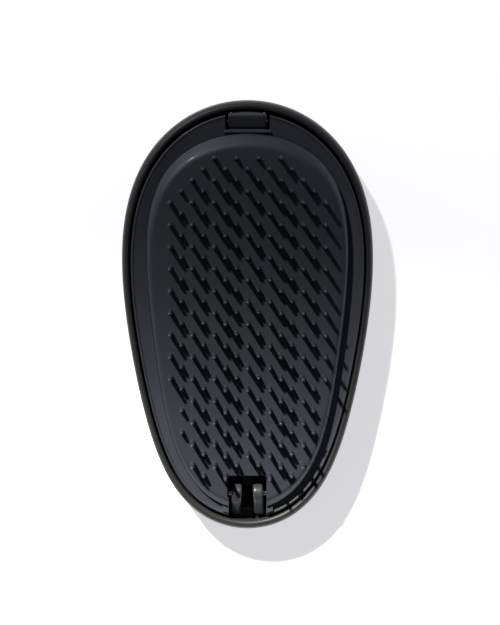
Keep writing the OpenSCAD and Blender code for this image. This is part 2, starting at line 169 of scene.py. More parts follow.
# %% [markdown]
# ## Black plastics
# Every visible piece is black. What tells them apart is how they take the light: the case
# and the hinge are polished, the frame has a fine satin grain, and the pad is duller still
# with glossy pins. Each finish is a Principled shader with a grain in its bump, a slow
# change of tone and roughness, and a little dust, which black plastic always shows.

# %% Finishes


def dust(finish, where, amount):
    specks = finish.noise(where, 1.4, 3.0, 0.7).above(0.72, 0.02)
    patches = finish.noise(where, 0.05, 2.0).above(0.5, 0.12)
    return specks * patches * amount


DUST = grey(0.16, 0.04)


def moulded(name, colour, roughness, spread, grain_mm, grain_depth, coat, dusty, shine=0.5):
    f = Finish(name)
    where = f.place()
    slow = f.noise(where, 0.03, 3.0)
    grain = f.noise(where, 1 / grain_mm, 2.0, 0.6)
    specks = dust(f, where, dusty)
    dark, light = (tuple(c * k for c in colour[:3]) + (1,) for k in (0.9, 1.1))
    return f.surface({
        "Base Color": f.mix(specks, f.mix(slow, dark, light), DUST),
        "Roughness": slow * spread + (roughness - spread / 2) + specks * 0.3,
        "Coat Weight": coat, "Coat Roughness": 0.12, "Specular IOR Level": shine,
        "Normal": f.bump(grain, grain_depth)})


case_gloss = moulded(
    "case_gloss", grey(0.019, 0.06), roughness=0.44, spread=0.08, grain_mm=1.6, grain_depth=0.002,
    coat=0.0, dusty=0.35, shine=0.25)
frame_satin = moulded(
    "frame_satin", grey(0.032, -0.16), roughness=0.42, spread=0.1, grain_mm=0.22, grain_depth=0.01,
    coat=0.1, dusty=0.3, shine=0.38)
pad_dull = moulded(
    "pad_dull", grey(0.018, -0.24), roughness=0.5, spread=0.08, grain_mm=0.3, grain_depth=0.006,
    coat=0.04, dusty=0.25, shine=0.36)
pin_gloss = moulded(
    "pin_gloss", grey(0.015, -0.1), roughness=0.4, spread=0.1, grain_mm=0.9, grain_depth=0.002,
    coat=0.0, dusty=0.1, shine=0.3)
hinge_gloss = moulded(
    "hinge_gloss", grey(0.026, -0.1), roughness=0.3, spread=0.06, grain_mm=1.2, grain_depth=0.002,
    coat=0.3, dusty=0.2)
latch_satin = moulded(
    "latch_satin", grey(0.032, -0.1), roughness=0.36, spread=0.08, grain_mm=0.4, grain_depth=0.004,
    coat=0.2, dusty=0.2)


def drawn_steel(name, roughness):
    f = Finish(name)
    where = f.place()
    lines = f.noise(where, 1.5, 3.0, 0.6, (0.06, 1, 1))
    return f.surface({
        "Base Color": f.mix(lines, grey(0.48), grey(0.62, 0.01)), "Metallic": 1.0,
        "Roughness": lines * 0.2 + roughness, "Normal": f.bump(lines, 0.003)})


def silvered_glass():
    f = Finish("silvered_glass")
    where = f.place()
    haze = f.noise(where, 0.08, 4.0).above(0.55, 0.2)
    return f.surface({
        "Base Color": f.mix(haze, (0.86, 0.88, 0.88, 1), (0.8, 0.83, 0.83, 1)), "Metallic": 1.0,
        "Roughness": haze * 0.03 + 0.015})


def foam_tape():
    f = Finish("foam_tape")
    where = f.place()
    cells = f.noise(where, 3.0, 2.0)
    return f.surface({
        "Base Color": f.mix(cells, (0.7, 0.7, 0.67, 1), (0.82, 0.82, 0.8, 1)),
        "Roughness": 0.8, "Normal": f.bump(cells, 0.04)})


steel, ground_steel = drawn_steel("drawn_steel", 0.18), drawn_steel("ground_steel", 0.04)
silver, tape = silvered_glass(), foam_tape()

# %% [markdown]
# ## The egg outlines
# All the outlines are eggs: half the width at an angle t from the wide end is a short sum
# of sines. The case and the pad have their own sums, because the pad is blunter.

# %% Outlines
CASE = (1.0215, 0.077, 0.0495, -0.0148)
PAD = (1.046, 0.105, 0.088, 0.0)
STEPS = 288


def egg(length, width, middle, shape):
    points = []
    for i in range(STEPS):
        t = 2 * math.pi * i / STEPS
        x = width / 2 * sum(s * math.sin((k + 1) * t) for k, s in enumerate(shape))
        points.append((x, middle + length / 2 * math.cos(t)))
    return points


def inset(line, end, side=None):
    """The line drawn in by this much at its ends and, where given, by another at its sides."""
    side = end if side is None else side
    return (line[0] - 2 * end, line[1] - 2 * side, line[2], line[3])


def between(a, b, f):
    return (a[0] + (b[0] - a[0]) * f, a[1] + (b[1] - a[1]) * f, a[2] + (b[2] - a[2]) * f, a[3])


def quarter(steps, first=0):
    """The angles of a quarter turn, in radians, from the first step on."""
    return [math.radians(90 * i / steps) for i in range(first, steps + 1)]


# Each line is a length along Y, a width along X, a middle on Y and a shape.
RIM_END, RIM_SIDE = 2.0, 1.45
case_line = (120.0, 70.0, 0.0, CASE)
rim_line = inset(case_line, 0.8)
mouth_line = inset(rim_line, RIM_END, RIM_SIDE)
flange_line = inset(mouth_line, 1.0, 0.55)
pad_line = (103.9, 55.3, -1.55, PAD)
pins_line = (97.5, 47.8, -2.75, PAD)
plate_line = (pad_line[0] - 6.9, pad_line[1] - 4.2, pad_line[2] - 0.85, PAD)
RIM, PAD_TOP, BELLY, FLOOR = 14.0, 17.2, 8.5, 1.8
HINGE_Y, HINGE_Z = -49.3, 13.35
for what, line in (("case", case_line), ("mouth", mouth_line), ("flange", flange_line)):
    print(what, "length and width, mm:", [round(v, 1) for v in line[:2]])

# %% [markdown]
# ## Helpers for meshes
# A loft joins rings of points with faces. Closed on itself it is a ring-shaped moulding.
# Cuts are made with Boolean modifiers, and their result is kept as a plain mesh.

# %% Mesh helpers


def finished(name, mesh, material, crease=32, flats=False):
    """Makes the piece. With flats, its large faces keep their own normals, and only the
    rounds between them bend."""
    mesh.materials.clear()
    mesh.materials.append(material)
    mesh.shade_smooth()
    mesh.set_sharp_from_angle(angle=math.radians(crease))
    piece = bpy.data.objects.new(name, mesh)
    bpy.context.scene.collection.objects.link(piece)
    if flats:
        step = piece.modifiers.new("flats", "WEIGHTED_NORMAL")
        step.keep_sharp = True
        graph = bpy.context.evaluated_depsgraph_get()
        weighed = bpy.data.meshes.new_from_object(piece.evaluated_get(graph))
        piece.modifiers.clear()
        piece.data = weighed
    return piece


def outward(bm):
    bmesh.ops.remove_doubles(bm, verts=bm.verts, dist=1e-7)
    bmesh.ops.recalc_face_normals(bm, faces=bm.faces)


def loft(rings, closed=False):
    bm = bmesh.new()
    loops = [[bm.verts.new((x * MM, y * MM, z * MM)) for x, y in egg(*line)] for line, z in rings]
    pairs = list(zip(loops, loops[1:])) + ([(loops[-1], loops[0])] if closed else [])
    for low, high in pairs:
        for i in range(STEPS):
            j = (i + 1) % STEPS
            bm.faces.new((low[i], low[j], high[j], high[i]))
    if not closed:
        bm.faces.new(loops[0])
        bm.faces.new(loops[-1])
    outward(bm)
    return to_mesh(bm)


def to_mesh(bm):
    mesh = bpy.data.meshes.new("made")
    bm.to_mesh(mesh)
    bm.free()
    return mesh


def bevelled(bm, radius, segments=3, sharp=25):
    """Rounds every edge that turns by more than this angle."""
    outward(bm)
    edges = [
        e for e in bm.edges
        if len(e.link_faces) == 2 and e.calc_face_angle() > math.radians(sharp)]
    bmesh.ops.bevel(
        bm, geom=edges, offset=radius * MM, segments=segments, profile=0.5, affect="EDGES",
        clamp_overlap=True)
    return to_mesh(bm)


def block(x0, x1, y0, y1, z0, z1, radius=0.0):
    bm = bmesh.new()
    bmesh.ops.create_cube(bm, size=1)
    for v in bm.verts:
        v.co = Vector([
            (high if c > 0 else low) * MM
            for c, low, high in zip(v.co, (x0, y0, z0), (x1, y1, z1))])
    return bevelled(bm, radius) if radius else to_mesh(bm)


def prism(profile, x0, x1, radius, segments=3, sharp=25):
    """A (y, z) profile from x0 to x1, with its edges rounded."""
    bm = bmesh.new()
    ends = [[bm.verts.new((x * MM, y * MM, z * MM)) for y, z in profile] for x in (x0, x1)]
    for i in range(len(profile)):
        j = (i + 1) % len(profile)
        bm.faces.new((ends[0][i], ends[0][j], ends[1][j], ends[1][i]))
    bm.faces.new(ends[0])
    bm.faces.new(ends[1])
    return bevelled(bm, radius, segments, sharp) if radius else to_mesh(bm)


def rod(y, z, radius, x0, x1):
    """A round bar along X."""
    bm = bmesh.new()
    made = bmesh.ops.create_cone(
        bm, cap_ends=True, segments=48, radius1=radius * MM, radius2=radius * MM,
        depth=(x1 - x0) * MM)
    for v in made["verts"]:
        v.co = Vector((v.co.z + (x0 + x1) / 2 * MM, v.co.x + y * MM, v.co.y + z * MM))
    return to_mesh(bm)


def arc(cy, cz, radius, start, stop, steps):
    turns = [math.radians(start + (stop - start) * i / steps) for i in range(steps + 1)]
    return [(cy + radius * math.cos(a), cz + radius * math.sin(a)) for a in turns]


def combine(base, parts):
    """Applies (operation, mesh) pairs to a mesh with exact Booleans, and returns the plain
    result. Without hole tolerance the solver can lose the button's press when it joins it
    to the head."""
    body = bpy.data.objects.new("body", base)
    bpy.context.scene.collection.objects.link(body)
    tools = []
    for operation, mesh in parts:
        tool = bpy.data.objects.new("tool", mesh)
        bpy.context.scene.collection.objects.link(tool)
        step = body.modifiers.new(operation, "BOOLEAN")
        step.operation, step.object, step.solver = operation, tool, "EXACT"
        step.use_hole_tolerant = True
        tools.append(tool)
    graph = bpy.context.evaluated_depsgraph_get()
    mesh = bpy.data.meshes.new_from_object(body.evaluated_get(graph))
    for thing in tools + [body]:
        bpy.data.objects.remove(thing)
    return mesh


# %% [markdown]
# ## The case
# The case is one moulded bowl: a flat to rest on, a dome that ends in the widest line, a
# side that draws in a little, a broad outer round over the rim, a tighter inner one and a
# smooth hollow. Its profile is lofted from ring to ring, and the window for the button is
# cut through the wall at the wide end.

# %% Case shell
SHOULDER = 11.9
rest_line = (62.0, 36.0, 0.0, CASE)
shoulder_line = inset(case_line, 0.42, 0.25)
crest_line = inset(mouth_line, -0.8, -0.6)


def case_rings():
    """From the rest face up the outside, over the rim and down the hollow."""
    rings = []
    for a in quarter(24):
        rings.append((between(rest_line, case_line, math.sin(a)), BELLY * (1 - math.cos(a))))
    for i in range(1, 5):
        f = i / 4
        rings.append((between(case_line, shoulder_line, f), BELLY + (SHOULDER - BELLY) * f))
    for a in quarter(16, 1):
        rings.append((
            between(shoulder_line, crest_line, 1 - math.cos(a)),
            SHOULDER + (RIM - SHOULDER) * math.sin(a)))
    for a in quarter(8, 1):
        rings.append((
            between(crest_line, mouth_line, math.sin(a)), RIM - RIM_SIDE / 2 * (1 - math.cos(a))))
    for a in reversed(quarter(24)):
        rings.append((
            between(rest_line, mouth_line, math.sin(a)), BELLY - (BELLY - FLOOR) * math.cos(a)))
    return rings


BUTTON_Y, BUTTON_Z = 54.2, 8.6
WINDOW_X, WINDOW_LOW, WINDOW_HIGH, WINDOW_ROUND = 4.7, BUTTON_Z - 4.2, BUTTON_Z - 0.7, 0.3
window = block(-WINDOW_X, WINDOW_X, 50.2, 64, WINDOW_LOW, WINDOW_HIGH, WINDOW_ROUND)
shell_mesh = combine(loft(case_rings()), [("DIFFERENCE", window)])
shell = finished("case_shell", shell_mesh, case_gloss, 30)
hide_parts("outer_shell")
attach(shell, "case")
print("case shell faces:", len(shell.data.polygons))

# %% [markdown]
# ## The brush frame
# The frame is a ring: a dull flange that ends in a thin raised lip, a skirt that goes down
# into the case, and an opening for the pad. The flange dips towards the pad at the wide end
# and rises to it at the narrow end. The recess for the hinge and the notch for the button
# are cut out of the ring, and the stepped ledge stands beside the notch.

# %% Brush frame
SEAT, SKIRT = inset(pad_line, -0.8), inset(pad_line, -2.0)
OPENING = inset(pad_line, -0.2)
COVER_TOP, SEAT_TOP, FLANGE_Z = 9.3, 11.0, 12.0
LIP, LIP_H, LIP_ROUND = 0.65, 0.35, 0.2
FLANGE_TOP = RIM - LIP_H
OPENING_TOP = FLANGE_TOP - 0.2
FLANGE_DIP, DIP_REACH, RISE_SHARE = 0.65, 45, 0.8


def frame_rings():
    """Up the skirt and the flange's edge, over the lip and the flange, and down the opening."""
    rings = [(SKIRT, COVER_TOP), (SKIRT, FLANGE_Z - 0.3), (inset(SKIRT, -0.1), FLANGE_Z - 0.1)]
    rings += [(inset(flange_line, 0.25), FLANGE_Z), (flange_line, FLANGE_Z + 0.25)]
    rings += [(inset(flange_line, LIP_ROUND), RIM - LIP_ROUND)]
    for a in (math.radians(turn) for turn in (22, 45, 67, 90)):
        rings.append((
            inset(flange_line, LIP_ROUND * (1 - math.cos(a))),
            RIM - LIP_ROUND + LIP_ROUND * math.sin(a)))
    for into, z in ((LIP - 0.2, RIM), (LIP - 0.05, RIM - 0.06), (LIP + 0.1, FLANGE_TOP + 0.06),
                    (LIP + 0.3, FLANGE_TOP)):
        rings.append((inset(flange_line, into), z))
    return rings + [
        (OPENING, OPENING_TOP), (OPENING, SEAT_TOP), (SEAT, SEAT_TOP), (SEAT, COVER_TOP)]


def frame_ring():
    """The ring, with the opening's edge lowered at the wide end and raised at the other."""
    mesh = loft(frame_rings(), closed=True)
    for v in mesh.vertices:
        if abs(v.co.z / MM - OPENING_TOP) < 0.01:
            v.co.z -= FLANGE_DIP * max(-RISE_SHARE, min(1.0, v.co.y / MM / DIP_REACH)) * MM
    return mesh


RECESS_X, RECESS_Y, RECESS_WALL = 5.25, -44.3, 1.8
WALL_X, WALL_TOP = RECESS_X + RECESS_WALL, 14.7
NOTCH_X, LEDGE_Y, NOTCH_Y = 6.15, 50.65, 51.55
LEDGE_X, STEP_X = NOTCH_X + 0.3, NOTCH_X - 0.6
SILL_X, SILL_Y, SILL_LOW, SILL_HIGH = 4.95, 52.6, 10.6, 11.8
HINGE_BORE = 0.86
# Cuts that pass right through end well clear of the brush.
FAR, BELOW, ABOVE = 80, -20, 40


def recess(grow=0.0, top=ABOVE):
    """The cut for the hinge. It is open at the narrow end, and grow widens it elsewhere."""
    return block(-RECESS_X - grow, RECESS_X + grow, -FAR, RECESS_Y + grow, BELOW, top)


wall = combine(
    block(-WALL_X, WALL_X, -60, RECESS_Y + RECESS_WALL, COVER_TOP, WALL_TOP),
    [("INTERSECT", loft([(SKIRT, COVER_TOP), (SKIRT, WALL_TOP)]))])
frame_mesh = combine(frame_ring(), [
    ("UNION", wall),
    ("UNION", block(-LEDGE_X, LEDGE_X, LEDGE_Y, LEDGE_Y + 0.8, FLANGE_Z, PAD_TOP - 1.3, 0.15)),
    ("UNION", block(-STEP_X, STEP_X, LEDGE_Y, NOTCH_Y, FLANGE_Z, RIM + 0.3, 0.12)),
    ("DIFFERENCE", recess()),
    ("DIFFERENCE", block(-NOTCH_X, NOTCH_X, NOTCH_Y, FAR, BELOW, ABOVE)),
    ("DIFFERENCE", rod(HINGE_Y, HINGE_Z, HINGE_BORE, -WALL_X, WALL_X)),
    ("UNION", block(-SILL_X, SILL_X, LEDGE_Y + 0.6, SILL_Y, SILL_LOW, SILL_HIGH)),
])
frame_piece = finished("brush_frame_moulding", frame_mesh, frame_satin, 30, True)
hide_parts("brush_frame")
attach(frame_piece, "brush_half")

# %% [markdown]
# ## The pad
# The pad is the black platform under the pins. Its top edge is rounded along the sides,
# where it catches a bright line, and runs out into broad slopes at both ends. It is hollow
# from behind, as mouldings are, and open in the middle, where the plate with the pins is
# let in.

# %% Brush pad
PAD_EDGE, SLOPE, SOFT, NARROW_SHARE = 1.7, 0.53, 0.35, 0.6
PAD_WALL, PAD_FOOT, PAD_FOOT_TOP, PAD_CEILING, PLATE_T = 1.8, 0.6, 10.8, 14.9, 1.0


def slope_reach(drop):
    """How far in from the wide end the pad's top lies this much below its flat. The narrow
    end has a set share of that."""
    if drop > SOFT:
        return (PAD_EDGE - drop) / SLOPE
    return (PAD_EDGE - SOFT) / SLOPE + 1.5 * (1 - math.sqrt(drop / SOFT))


def pad_edge(side, drop):
    reach = slope_reach(drop)
    return (
        pad_line[0] - (1 + NARROW_SHARE) * reach, pad_line[1] - 2 * side,
        pad_line[2] - (1 - NARROW_SHARE) / 2 * reach, PAD)


def pad_rings():
    """From the ceiling inside, down and round the foot, up and over the edge to the opening."""
    inside, foot = inset(pad_line, PAD_WALL), inset(pad_line, -PAD_FOOT)
    rings = [(inside, PAD_CEILING), (inside, COVER_TOP), (foot, COVER_TOP), (foot, PAD_FOOT_TOP),
             (pad_line, PAD_FOOT_TOP)]
    for a in quarter(12):
        drop = PAD_EDGE * max(0.0, 1 - math.sin(a))
        rings.append((pad_edge(PAD_EDGE * (1 - math.cos(a)), drop), PAD_TOP - drop))
    return rings + [(plate_line, PAD_TOP), (plate_line, PAD_TOP - PLATE_T)]


pad_mesh = combine(loft(pad_rings()), [
    ("DIFFERENCE", recess()),
    ("DIFFERENCE", recess(RECESS_WALL + 0.2, PAD_CEILING)),
])
pad = finished("pad_moulding", pad_mesh, pad_dull, 30)
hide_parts("brush_pad")
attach(pad, "brush_half")

# %% [markdown]
# ## The pins, by Geometry Nodes
# The pins stand in staggered rows wherever their foot lies inside an egg. The tree makes a
# fine grid, keeps every second point in each row, drops the points outside the egg or in
# the hinge's corner, and puts one lathed pin on each point that is left. Counted in half
# pitches from the middle, three columns on each side have short pins, and the others long
# ones. The sizes are named inputs of the tree, so the field can be changed without
# touching its nodes.

# %% One pin
LONG, SHORT, PIN_FOOT, PIN_TIP, PIN_SIDES = 7.8, 3.3, 0.7, 0.48, 16
FILLET, FILLET_H, SUNK = 0.35, 0.4, 0.1
PITCH, ROW_PITCH, FIRST_ROW = 6.04, 3.01, 43.55
SHORT_COLUMNS = (1, 4, 6)


def lathe(profile, steps, name):
    """Turns an (r, z) profile round the Z axis. A radius of 0 is a single point."""
    turns = [2 * math.pi * i / steps for i in range(steps)]
    bm = bmesh.new()
    loops = []
    for r, z in profile:
        loops.append([
            bm.verts.new((r * MM * math.cos(a), r * MM * math.sin(a), z * MM))
            for a in (turns if r else turns[:1])])
    for low, high in zip(loops, loops[1:]):
        for i in range(steps):
            j = (i + 1) % steps
            corners = [
                low[i % len(low)], low[j % len(low)], high[j % len(high)], high[i % len(high)]]
            bm.faces.new(list(dict.fromkeys(corners)))
    bm.faces.new(loops[0])
    bmesh.ops.recalc_face_normals(bm, faces=bm.faces)
    mesh = to_mesh(bm)
    mesh.name = name
    return mesh


def pin_profile(height):
    """A small fillet at the foot, which is sunk into the plate, a taper and a round tip."""
    foot = [
        (PIN_FOOT + FILLET * (1 - math.sin(a)), -SUNK + FILLET_H * (1 - math.cos(a)))
        for a in (math.radians(turn) for turn in (0, 30, 60, 90))]
    neck = height - PIN_TIP
    middle = [(PIN_FOOT + (PIN_TIP - PIN_FOOT) * f, 0.3 + (neck - 0.3) * f) for f in (0.5, 1.0)]
    tip = [
        (PIN_TIP * math.cos(a), neck + PIN_TIP * math.sin(a))
        for a in (math.radians(turn) for turn in (22, 45, 68))]
    return foot + middle + tip + [(0, height)]


def one_pin(name, height):
    made = bpy.data.objects.new(name, lathe(pin_profile(height), PIN_SIDES, name))
    made.data.shade_smooth()
    bpy.context.scene.collection.objects.link(made)
    return made


long_pin, short_pin = one_pin("long_pin", LONG), one_pin("short_pin", SHORT)

# %% The tree that sets them out


class Tree:
    """A Geometry Nodes tree: the same node method as a finish has, and named inputs."""

    def __init__(self, name):
        self.tree = bpy.data.node_groups.new(name, "GeometryNodeTree")
        self.ids = {}
        self.enter = self.tree.nodes.new("NodeGroupInput")
        self.leave = self.tree.nodes.new("NodeGroupOutput")
        self.tree.interface.new_socket(
            "Geometry", in_out="OUTPUT", socket_type="NodeSocketGeometry")

    def input(self, name, kind="NodeSocketFloat"):
        socket = self.tree.interface.new_socket(name, in_out="INPUT", socket_type=kind)
        self.ids[name] = socket.identifier
        return Value(self, self.enter.outputs[name])

    def node(self, kind, settings, inputs, out=0):
        return Finish.node(self, kind, settings, inputs, out)

    def end(self, geometry, material):
        real = self.node("GeometryNodeRealizeInstances", {}, {0: geometry})
        dressed = self.node("GeometryNodeSetMaterial", {}, {"Geometry": real, "Material": material})
        self.tree.links.new(dressed.socket, self.leave.inputs[0])

    def grow(self, name, values):
        """Runs the tree on an empty mesh with these inputs, and returns the plain mesh."""
        host = bpy.data.objects.new(name, bpy.data.meshes.new(name))
        bpy.context.scene.collection.objects.link(host)
        step = host.modifiers.new(name, "NODES")
        step.node_group = self.tree
        for key, value in values.items():
            step[self.ids[key]] = value
        graph = bpy.context.evaluated_depsgraph_get()
        mesh = bpy.data.meshes.new_from_object(host.evaluated_get(graph))
        bpy.data.objects.remove(host)
        return mesh


def pin_tree():
    t = Tree("pin_rows")
    pitch, row_pitch, first, length, width, middle, corner_x, corner_y, top, corner_end = (
        t.input(name) for name in (
            "Pitch", "Row pitch", "First row", "Field length", "Field width", "Field middle",
            "Corner half width", "Corner reach", "Pad height", "Corner end"))
    long_one, short_one = (t.input(name, "NodeSocketObject") for name in ("Long pin", "Short pin"))
    columns, rows = 25, 33
    grid = t.node("GeometryNodeMeshGrid", {}, {
        "Size X": pitch * (columns - 1) / 2, "Size Y": row_pitch * (rows - 1),
        "Vertices X": columns, "Vertices Y": rows})
    lift = t.node("ShaderNodeCombineXYZ", {}, {1: first - row_pitch * ((rows - 1) / 2), 2: top})
    laid = t.node("GeometryNodeTransform", {}, {"Geometry": grid, "Translation": lift})
    place = t.node("GeometryNodeInputPosition", {}, {})
    split = t.tree.nodes.new("ShaderNodeSeparateXYZ")
    t.tree.links.new(place.socket, split.inputs[0])
    x, y = Value(t, split.outputs[0]), Value(t, split.outputs[1])
    off = x.math("ABSOLUTE")
    across = (off / pitch * 2).math("ROUND")
    down = ((first - y) / row_pitch).math("ROUND")
    odd = (across + down).math("MODULO", 2).above(0.5)
    along = ((y - middle) / (length / 2)).math("MAXIMUM", -1.0).math("MINIMUM", 1.0)
    turn = along.math("ARCCOSINE")
    waves = ((turn * (k + 1)).math("SINE") * share for k, share in enumerate(PAD[:3]))
    half = sum(waves, start=turn * 0.0) * (width / 2)
    in_length = (length / 2 - (y - middle).math("ABSOLUTE")).above(0.0)
    inside = (half - off).above(-0.00001) * in_length
    free = ((off - corner_x).above(0.0) + (y - corner_y).above(0.0)).math("MINIMUM", 1.0)
    drop = 1 - odd * inside * free * (y - corner_end).above(0.0)
    kept = t.node(
        "GeometryNodeDeleteGeometry", {"domain": "POINT"}, {"Geometry": laid, "Selection": drop})
    hits = (1 - (across - column).math("ABSOLUTE").above(0.5) for column in SHORT_COLUMNS)
    low = sum(hits, start=across * 0.0)
    both = t.tree.nodes.new("GeometryNodeJoinGeometry")
    for thing, chosen in ((long_one, 1 - low), (short_one, low)):
        shape = t.node("GeometryNodeObjectInfo", {}, {"Object": thing}, "Geometry")
        stood = t.node(
            "GeometryNodeInstanceOnPoints", {},
            {"Points": kept, "Instance": shape, "Selection": chosen})
        t.tree.links.new(stood.socket, both.inputs[0])
    t.end(Value(t, both.outputs[0]), pin_gloss)
    return t


pin_mesh = pin_tree().grow("pins", {
    "Pitch": PITCH * MM, "Row pitch": ROW_PITCH * MM, "First row": FIRST_ROW * MM,
    "Field length": pins_line[0] * MM, "Field width": pins_line[1] * MM,
    "Field middle": pins_line[2] * MM, "Corner half width": RECESS_X * MM,
    "Corner reach": (RECESS_Y + 2 * PIN_FOOT) * MM, "Corner end": RECESS_Y * MM,
    "Pad height": PAD_TOP * MM, "Long pin": long_pin, "Short pin": short_pin})
bpy.data.objects.remove(long_pin)
bpy.data.objects.remove(short_pin)
print("pins:", len(pin_mesh.vertices) // (PIN_SIDES * (len(pin_profile(LONG)) - 1) + 1))

# %% [markdown]
# The pins grow out of one moulded plate that is flush with the pad, so the plate and the
# pins are one piece. The plate gets the pad's dull finish and the pins their own gloss.

# %% Pins and their plate
plate_mesh = combine(
    loft([(plate_line, PAD_TOP - PLATE_T), (plate_line, PAD_TOP)]), [("DIFFERENCE", recess(0.4))])
joined = bmesh.new()
joined.from_mesh(plate_mesh)
plate_faces = len(joined.faces)
joined.from_mesh(pin_mesh)
joined.faces.ensure_lookup_table()
for index, face in enumerate(joined.faces):
    face.material_index = 0 if index < plate_faces else 1
pins_mesh = to_mesh(joined)
pins = finished("pin_rows", pins_mesh, pad_dull, 50)
pins.data.materials.append(pin_gloss)
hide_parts("pin_field")
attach(pins, "brush_half")

# %% [markdown]
# ## Tray and hinge arms
# The tray carries the mirror and reaches out at its narrow end into two arms with round
# tops, which the photograph shows shining in the frame's recess. Their edges are rounded,
# because a moulded edge always takes a highlight. At its wide end it holds the button.

# %% Tray
TRAY_Z, TRAY_TOP, BORDER_TOP = 3.7, 5.2, 7.9
TRAY_END_Y = HINGE_Y + 6.3
ARM_GAP, ARM_W, ARM_R, ARM_SPLAY, ARM_ROUND = 2.9, 2.9, 2.7, 0.45, 0.95
ARM_ROOT_Y, ARM_BACK_Y, ARM_BACK_ANGLE = TRAY_END_Y + 1.5, HINGE_Y - 6.4, 122.6
FOOT_START, FOOT_STEP = 0.64, 1.408
hollow_reach = math.sin(math.acos(1 - (TRAY_Z - FLOOR) / (BELLY - FLOOR)))
bed = between(rest_line, mouth_line, hollow_reach)
tray_tip = bed[0] / 2 - 0.45
tray_line = (tray_tip - TRAY_END_Y, bed[1] - 2.0, (tray_tip + TRAY_END_Y) / 2, CASE)
well_line = inset(tray_line, 1.4)


def hollow_z(y):
    """The height of the case's hollow on the middle line."""
    reach = (2 * abs(y) - rest_line[0]) / (mouth_line[0] - rest_line[0])
    return FLOOR + (BELLY - FLOOR) * (1 - math.cos(math.asin(max(0.0, min(1.0, reach)))))


def over_hollow(x, y):
    """A height 0.3 mm clear of the hollow, off the middle line near one end. The slope is
    that of the egg's sum of sines at that end."""
    end = 1 if y > 0 else -1
    slope = CASE[0] + end * 2 * CASE[1] + 3 * CASE[2] + end * 4 * CASE[3]
    fall = mouth_line[0] / 2 * (1 - math.cos(x / (mouth_line[1] / 2 * slope)))
    return max(TRAY_Z, hollow_z(abs(y) + fall) + 0.3)


def arm_profile():
    """From the tray back under the arm to its far end, then up its straight back and over
    its round top."""
    face = ARM_GAP / 2 + ARM_W + ARM_SPLAY
    foot = [ARM_ROOT_Y] + [HINGE_Y + FOOT_START - FOOT_STEP * i for i in range(5)] + [ARM_BACK_Y]
    under = [(y, over_hollow(face, y)) for y in foot]
    top = arc(HINGE_Y, HINGE_Z, ARM_R, ARM_BACK_ANGLE, 0, 14)
    return under + [(ARM_BACK_Y, RIM - 1.9)] + top + [
        (HINGE_Y + ARM_R, HINGE_Z - ARM_R), (TRAY_END_Y + 0.4, TRAY_TOP + 0.6),
        (ARM_ROOT_Y, TRAY_TOP)]


def arm(side):
    """A bar with round edges, which steps aside towards its foot."""
    inner, outer = sorted((side * ARM_GAP / 2, side * (ARM_GAP / 2 + ARM_W)))
    mesh = prism(arm_profile(), inner, outer, ARM_ROUND, 6, 40)
    for v in mesh.vertices:
        f = min(1.0, max(0.0, (HINGE_Y + 1.0 - v.co.y / MM) / 7.4))
        v.co.x += side * ARM_SPLAY * f * MM
    return mesh


LUG_IN, LUG_T, LUG_R = 5.65, 1.5, 1.5
SCREW_X, SCREW_Y, SCREW_BORE, SCREW_HEAD, SCREW_SEAT = 18, 22, 0.92, 1.9, TRAY_TOP - 0.9


def lug_profile():
    """The cheek at each side of the button, round about its pin."""
    foot = (tray_tip - 3, tray_tip - 0.3, tray_tip + 3, BUTTON_Y)
    under = [(y, over_hollow(LUG_IN + LUG_T, y)) for y in foot]
    return under + arc(BUTTON_Y, BUTTON_Z, LUG_R, -60, 170, 14) + [
        (tray_tip + 1, BORDER_TOP - 0.6), (tray_tip - 3, TRAY_TOP)]


def tray_parts():
    parts = []
    for side in (-1, 1):
        parts.append(("UNION", arm(side)))
        a, b = sorted((side * LUG_IN, side * (LUG_IN + LUG_T)))
        parts.append(("UNION", prism(lug_profile(), a, b, 0.0)))
    web_in, web_out = TRAY_END_Y + 2, HINGE_Y + 0.8
    web = [(web_in, TRAY_Z), (web_in, TRAY_TOP), (web_out, TRAY_TOP),
           (web_out, over_hollow(4.5, web_out))]
    parts.append(("UNION", prism(web, -4.0, 4.0, 0.0)))
    parts.append(("DIFFERENCE", rod(HINGE_Y, HINGE_Z, 0.82, -20, 20)))
    parts.append(("DIFFERENCE", rod(BUTTON_Y, BUTTON_Z, 0.77, -20, 20)))
    for x in (-SCREW_X, SCREW_X):
        for y in (-SCREW_Y, SCREW_Y):
            hole = lathe([
                (SCREW_BORE, -5), (SCREW_BORE, SCREW_SEAT), (SCREW_HEAD, SCREW_SEAT),
                (SCREW_HEAD, 20), (0, 20)], 32, "hole")
            hole.transform(Matrix.Translation((x * MM, y * MM, 0)))
            parts.append(("DIFFERENCE", hole))
    return parts


tray_rings = [
    (inset(tray_line, 0.2), TRAY_Z), (tray_line, TRAY_Z + 0.2), (tray_line, BORDER_TOP - 0.3),
    (inset(tray_line, 0.1), BORDER_TOP - 0.1), (inset(tray_line, 0.3), BORDER_TOP)]
well_rings = [
    (well_line, TRAY_TOP), (well_line, BORDER_TOP - 0.15),
    (inset(well_line, -0.2), BORDER_TOP + 0.1), (inset(well_line, -0.2), 20)]
tray_base = combine(loft(tray_rings), [("DIFFERENCE", loft(well_rings))])
tray = finished("tray_and_arms", combine(tray_base, tray_parts()), hinge_gloss, 35, True)
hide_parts("mirror_tray")
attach(tray, "case")

# %% [markdown]
# ## The release button
# The button rocks on its pin. Its head fills the frame's notch: the face towards the pins
# slopes up to a narrow ridge, the back falls away and follows the rim's curve, and the nose
# holds the frame's sill down. The press under it comes out through the case's window.

